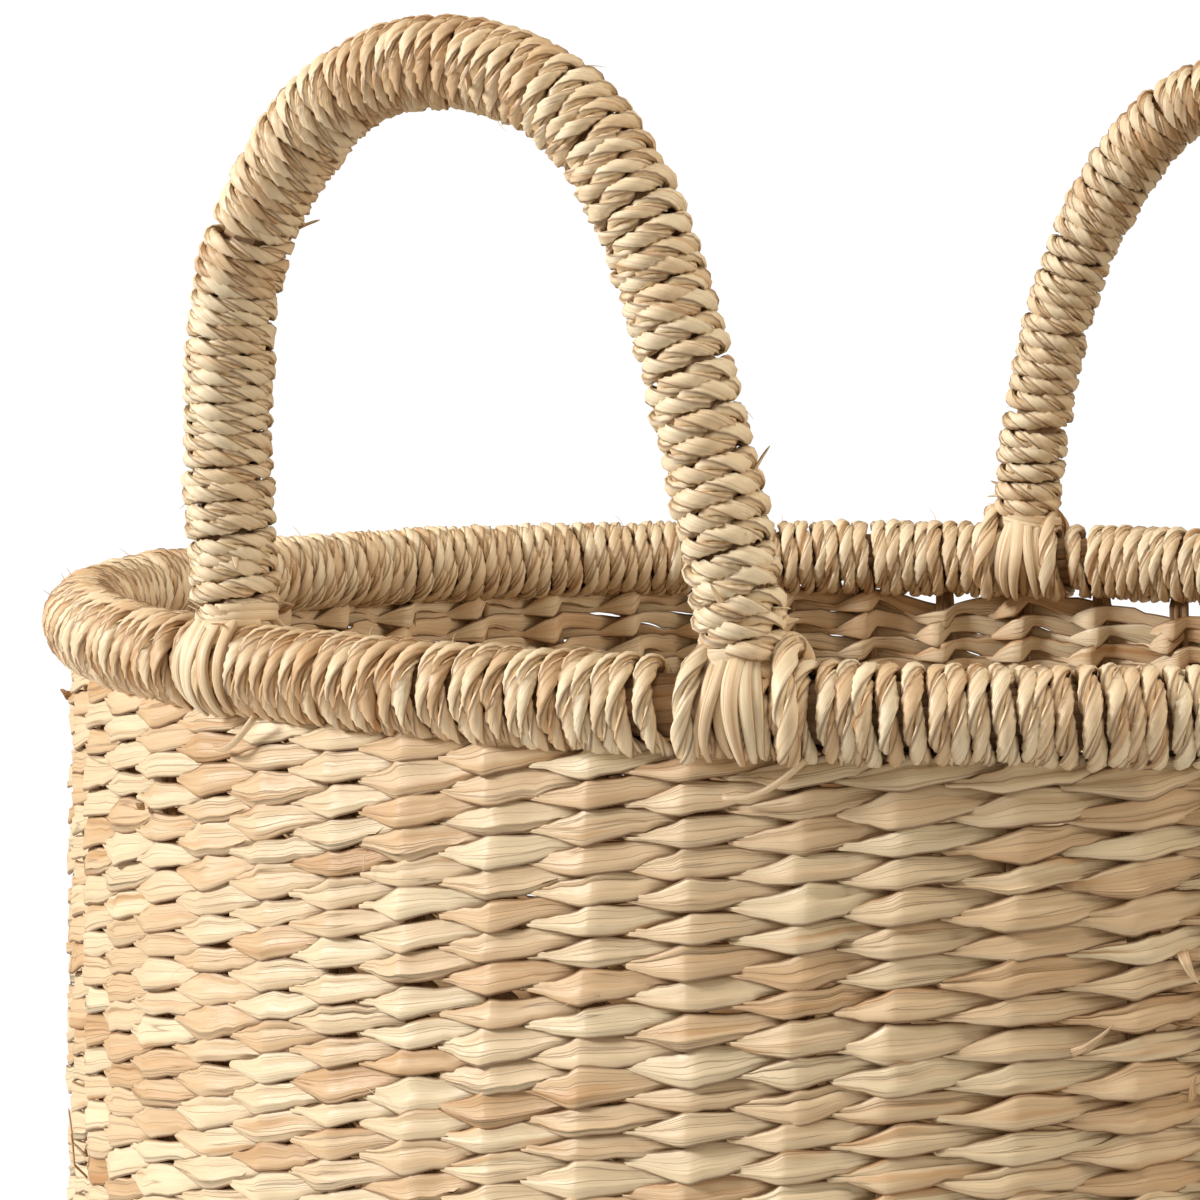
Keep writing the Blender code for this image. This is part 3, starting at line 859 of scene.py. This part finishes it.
def add_rim_hair(hairs, local, spot, turn, seed):
    """A short fine fibre on the rim's cord."""
    _, _, along = oval(spot)
    root, radial = rim_point(spot, turn, RIM_TUBE - 0.0004)
    heading = unit(radial + 0.9 * along * cos(turn))
    loose_hair(hairs, root, heading, along * 0.3, local.uniform(0.003, 0.007), seed)


def add_handle_ends(leaves, hairs, local, side, shape):
    """Fine fibres and some leaf ends all over one handle."""
    line, _ = handle_line(side, shape, 200)
    tangent = tangents(line)
    for k in range(HANDLE_ENDS):
        at = int(local.integers(12, 188))
        turn = local.uniform(0, 2 * pi)
        out = FORWARD * cos(turn) + np.cross(tangent[at], FORWARD) * sin(turn)
        root = line[at] + out * (HANDLE_TUBE - 0.0006)
        heading = unit(out * 0.7 + tangent[at] * local.choice([-1.0, 1.0]))
        if k % 4:
            length = local.uniform(0.002, 0.006)
            loose_hair(hairs, root, heading, tangent[at] * 0.2, length, 6000 + k)
            continue
        t = np.linspace(0, 1, 10)[:, None]
        length = local.uniform(0.003, 0.007)
        path = root - out * 0.001 + length * (heading * t + out * 0.25 * t ** 2)
        tone = local.uniform(0.3, 1.0)
        ribbon(leaves, path, out, 0.0011 * taper(len(t)), tone, 6500 + k, half_thick=0.00025)


def make_loose_ends(material, hair_material):
    """Leaf ends and fine fibres over the wall, the rim and the handles."""
    leaves = Strands()
    hairs = Strands()
    local = default_rng(4242)
    for k in range(LOOSE_LEAVES):
        stake = local.integers(0, STAKES) + 1.0 + local.uniform(-0.25, 0.25)
        way = ROW * (local.integers(1, 54) + local.uniform(-0.3, 0.3))
        loose_leaf(leaves, local, stake / STAKES, way, 1 if k % 5 else -1)
    for k in range(LOOSE_HAIRS):
        spot = local.uniform(0, 1)
        turn = local.uniform(0, 2 * pi)
        add_hair = add_wall_hair if k % 5 < 3 else add_rim_hair
        add_hair(hairs, local, spot, turn, 5000 + k)
    for _, side, shape in HANDLES:
        add_handle_ends(leaves, hairs, local, side, shape)
    leaves.build("loose_leaf_ends", material)
    hairs.build("loose_fibres", hair_material)


# ---- materials ----
class Nodes:
    """Short ways to add and join shader nodes."""

    def __init__(self, owner):
        """owner is a new material, or the world, which has no surface shader."""
        owner.use_nodes = True
        self.owner = owner
        self.tree = owner.node_tree
        self.shader = self.tree.nodes.get("Principled BSDF")

    def add(self, kind, **settings):
        node = self.tree.nodes.new(kind)
        for key, value in settings.items():
            setattr(node, key, value)
        return node

    def put(self, socket, value):
        """Give a socket a colour or a number, or join another node's output to it."""
        if isinstance(value, tuple):
            socket.default_value = (*value, 1.0)
        elif isinstance(value, (int, float)):
            socket.default_value = value
        else:
            self.tree.links.new(value, socket)

    def put_all(self, node, **values):
        """The same for a node's sockets by name, with _ for each space."""
        for key, value in values.items():
            self.put(node.inputs[key.replace("_", " ")], value)

    def math(self, operation, *values, clamp=False):
        node = self.add("ShaderNodeMath", operation=operation, use_clamp=clamp)
        for socket, value in zip(node.inputs, values):
            self.put(socket, value)
        return node.outputs[0]

    def ramp(self, value, stops):
        node = self.add("ShaderNodeValToRGB")
        ramp = node.color_ramp
        while len(ramp.elements) < len(stops):
            ramp.elements.new(0.5)
        for element, (place, colour) in zip(ramp.elements, stops):
            element.position = place
            element.color = (*colour, 1.0)
        self.put(node.inputs["Fac"], value)
        return node.outputs["Color"]

    def mix(self, share, first, second, blend="MIX"):
        node = self.add("ShaderNodeMix", data_type="RGBA", blend_type=blend)
        for k, value in ((0, share), (6, first), (7, second)):
            self.put(node.inputs[k], value)
        return node.outputs[2]

    def join(self, kind, values):
        """A node that joins its first inputs into one output."""
        node = self.add(kind)
        for socket, value in zip(node.inputs, values):
            self.put(socket, value)
        return node.outputs[0]

    def noise(self, place, scale, detail, rough=0.5):
        node = self.add("ShaderNodeTexNoise")
        self.put_all(node, Vector=place, Scale=scale, Detail=detail, Roughness=rough)
        return node.outputs["Fac"]

    def bump(self, height, strength, distance):
        node = self.add("ShaderNodeBump")
        self.put_all(node, Height=height, Strength=strength, Distance=distance)
        return node.outputs[0]


STAIN_FROM = 0.61           # stains show where their noise is above this
STAIN_COLOUR = (0.55, 0.27, 0.09)


def leaf_material(name, stops, fold_line_and_edge_shade_colour, edge_shade_from, line_strength, grain_strength, roughness):
    """Dried leaf: streaks along the strand, darker edges that are partly painted shade, folds, and a
    tone for each stitch.
    """
    n = Nodes(bpy.data.materials.new(name))
    leaf = n.add("ShaderNodeAttribute", attribute_name="leaf")
    seed = n.add("ShaderNodeAttribute", attribute_name="seed")
    split = n.add("ShaderNodeSeparateXYZ")
    n.put(split.inputs[0], leaf.outputs["Vector"])
    along, across, tone = split.outputs

    def streaks(along_scale, across_scale, detail, rough):
        x, y = n.math("MULTIPLY", along, along_scale), n.math("MULTIPLY", across, across_scale)
        place = n.join("ShaderNodeCombineXYZ", (x, y, seed.outputs["Fac"]))
        return n.noise(place, 1.0, detail, rough)

    fine = streaks(90.0, 7.0, 3.0, 0.65)
    broad = streaks(28.0, 1.6, 2.0, 0.5)
    folds = streaks(10.0, 1.9, 1.0, 0.4)
    shade = n.math("ADD", tone, n.math("MULTIPLY", n.math("SUBTRACT", broad, 0.5), 0.9), clamp=True)
    colour = n.ramp(shade, stops)
    grain = n.math("ADD", 1 - grain_strength / 2, n.math("MULTIPLY", fine, grain_strength))
    grain = n.join("ShaderNodeCombineColor", (grain, grain, grain))
    colour = n.mix(1.0, colour, grain, "MULTIPLY")
    distance = n.math("ABSOLUTE", n.math("SUBTRACT", folds, 0.5))
    line = n.math("SUBTRACT", 1.0, n.math("MULTIPLY", distance, 56.0), clamp=True)
    colour = n.mix(n.math("MULTIPLY", line, line_strength), colour, fold_line_and_edge_shade_colour)
    # darker brown towards the strand's edges: partly the leaf's own brown edge, partly painted shade
    # where strands and plies meet
    edge = n.math("MULTIPLY", n.math("SUBTRACT", n.math("ABSOLUTE", across), edge_shade_from), 9.0, clamp=True)
    colour = n.mix(n.math("MULTIPLY", edge, 0.75), colour, fold_line_and_edge_shade_colour)
    stain = n.math("SUBTRACT", streaks(22.0, 0.9, 2.0, 0.5), STAIN_FROM)
    stain = n.math("MULTIPLY", stain, 9.0, clamp=True)
    colour = n.mix(n.math("MULTIPLY", stain, 0.6), colour, STAIN_COLOUR)
    rough = n.math("ADD", roughness - 0.10, n.math("MULTIPLY", broad, 0.20))
    height = n.math("SUBTRACT", fine, n.math("MULTIPLY", line, 0.8))
    bump = n.bump(height, strength=0.5, distance=0.00035)
    n.put_all(n.shader, Base_Color=colour, Roughness=rough, Specular_IOR_Level=0.4, Normal=bump)
    return n.owner


def rod_material():
    """Bent cane: brown, with long grain and small darker knots."""
    n = Nodes(bpy.data.materials.new("bent_rod"))
    place = n.add("ShaderNodeTexCoord").outputs["Object"]
    fine = n.noise(place, 260.0, 4.0)
    broad = n.noise(place, 45.0, 2.0)
    shade = n.math("ADD", n.math("MULTIPLY", fine, 0.45), n.math("MULTIPLY", broad, 0.55), clamp=True)
    rough = n.math("ADD", 0.45, n.math("MULTIPLY", fine, 0.4))
    bump = n.bump(fine, strength=0.4, distance=0.0003)
    n.put_all(n.shader, Base_Color=n.ramp(shade, ROD_STOPS), Roughness=rough, Normal=bump)
    return n.owner


# ---- stage, light, camera ----
CAMERA_AZIMUTH = radians(32)
CAMERA_DISTANCE = 1.106
CAMERA_ABOVE_RIM = 0.1056
CAMERA_LENS = 138.8
AIM_LEFT = 0.0716           # how far the view's middle is left of the basket's, as a slope
AIM_DOWN = 0.0909           # and how far below the camera's height
FLOOR_RADIUS = 0.8
LAMPS = (                   # name, place, size, power and colour of each round lamp
    ("key", (-1.36, -1.29, 1.12), 0.55, 41.0, (1.0, 0.98, 0.94)),
    ("side", (1.9, 0.4, 1.0), 1.0, 16.0, (1.0, 0.90, 0.76)),
    ("above", (0.35, -0.35, 2.3), 1.0, 14.0, (1.0, 0.93, 0.82)),
)


def place_looking(name, data, spot, direction):
    """Put a camera or a lamp at a spot, looking in a direction."""
    item = bpy.data.objects.new(name, data)
    item.location = spot
    item.rotation_mode = "QUATERNION"
    item.rotation_quaternion = direction.to_track_quat("-Z", "Y")
    bpy.context.scene.collection.objects.link(item)
    return item


def make_camera():
    """A long lens a little above the rim, turned so that the left front of the rim fills the view."""
    forward = Vector((-sin(CAMERA_AZIMUTH), cos(CAMERA_AZIMUTH), 0.0))
    right = Vector((cos(CAMERA_AZIMUTH), sin(CAMERA_AZIMUTH), 0.0))
    spot = -forward * CAMERA_DISTANCE + Vector((0.0, 0.0, RIM_Z + CAMERA_ABOVE_RIM))
    aim = forward - right * AIM_LEFT - Vector((0.0, 0.0, AIM_DOWN))
    data = bpy.data.cameras.new("camera")
    data.lens = CAMERA_LENS
    data.sensor_width = 36.0
    data.clip_start = 0.05
    bpy.context.scene.camera = place_looking("camera", data, spot, aim)


def make_stage():
    """A round pale floor, just large enough to stand on and to catch the shadow."""
    bpy.ops.mesh.primitive_circle_add(vertices=96, radius=FLOOR_RADIUS, fill_type="NGON")
    floor = bpy.context.object
    floor.location = (0.0, 0.0, -0.0005)
    floor.name = "floor"
    n = Nodes(bpy.data.materials.new("floor"))
    n.put_all(n.shader, Base_Color=(0.80, 0.84, 0.88), Roughness=0.9)
    floor.data.materials.append(n.owner)


def make_lamps():
    """A key from the camera's left, and weaker, warmer light from the right and above."""
    target = Vector((0.0, 0.0, RIM_Z - 0.05))
    for name, spot, size, power, colour in LAMPS:
        data = bpy.data.lights.new(name, "AREA")
        data.shape = "DISK"
        data.size = size
        data.energy = power
        data.color = colour
        place_looking(name, data, spot, target - Vector(spot))


def make_surround():
    """A weak warm surround, which looks white to the camera."""
    n = Nodes(bpy.data.worlds.new("world"))
    bpy.context.scene.world = n.owner
    surround = n.tree.nodes["Background"]
    backdrop = n.add("ShaderNodeBackground")
    n.put_all(surround, Color=(1.0, 0.82, 0.60), Strength=0.29)
    n.put_all(backdrop, Color=(1.0, 1.0, 1.0), Strength=1.05)
    seen = n.add("ShaderNodeLightPath").outputs["Is Camera Ray"]
    choose = n.join("ShaderNodeMixShader", (seen, surround.outputs[0], backdrop.outputs[0]))
    n.put(n.tree.nodes["World Output"].inputs["Surface"], choose)


# ---- build ----
LEAF_STOPS = [
    (0.0, (0.86, 0.72, 0.50)),
    (0.4, (0.80, 0.62, 0.41)),
    (0.75, (0.71, 0.49, 0.29)),
    (1.0, (0.56, 0.34, 0.17)),
]
CORD_STOPS = [
    (0.0, (0.96, 0.83, 0.61)),
    (0.5, (0.91, 0.73, 0.50)),
    (1.0, (0.70, 0.48, 0.28)),
]
STAKE_STOPS = [(0.0, (0.42, 0.27, 0.15)), (1.0, (0.20, 0.11, 0.05))]
ROD_STOPS = [
    (0.30, (0.17, 0.09, 0.04)),
    (0.55, (0.36, 0.22, 0.11)),
    (0.75, (0.50, 0.33, 0.18)),
]

make_camera()
leaf = leaf_material(
    "dried_leaf", LEAF_STOPS, fold_line_and_edge_shade_colour=(0.15, 0.055, 0.012), edge_shade_from=0.81,
    line_strength=0.50, grain_strength=0.38, roughness=0.42,
)
cord = leaf_material(
    "straw_cord", CORD_STOPS, fold_line_and_edge_shade_colour=(0.20, 0.08, 0.025), edge_shade_from=0.875,
    line_strength=0.20, grain_strength=0.28, roughness=0.42,
)
fibre = leaf_material(
    "stake_fibre", STAKE_STOPS, fold_line_and_edge_shade_colour=(0.08, 0.04, 0.02), edge_shade_from=0.86,
    line_strength=0.40, grain_strength=0.45, roughness=0.80,
)
rod = rod_material()
rows = make_wall(leaf)
make_base(leaf, rows)
make_rim(cord, fibre)
for word, side, shape in HANDLES:
    make_handle(word, side, shape, cord)
    make_lashing(word, "left", shape[0][0], side, cord)
    make_lashing(word, "right", shape[-1][0], side, cord)
make_stakes(fibre)
make_loose_ends(leaf, cord)
for node in ("rim_hoop", "front_handle_rod", "back_handle_rod"):
    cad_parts[node].data.materials.clear()
    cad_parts[node].data.materials.append(rod)
make_stage()
make_surround()
make_lamps()
bpy.context.scene.view_settings.view_transform = "Standard"
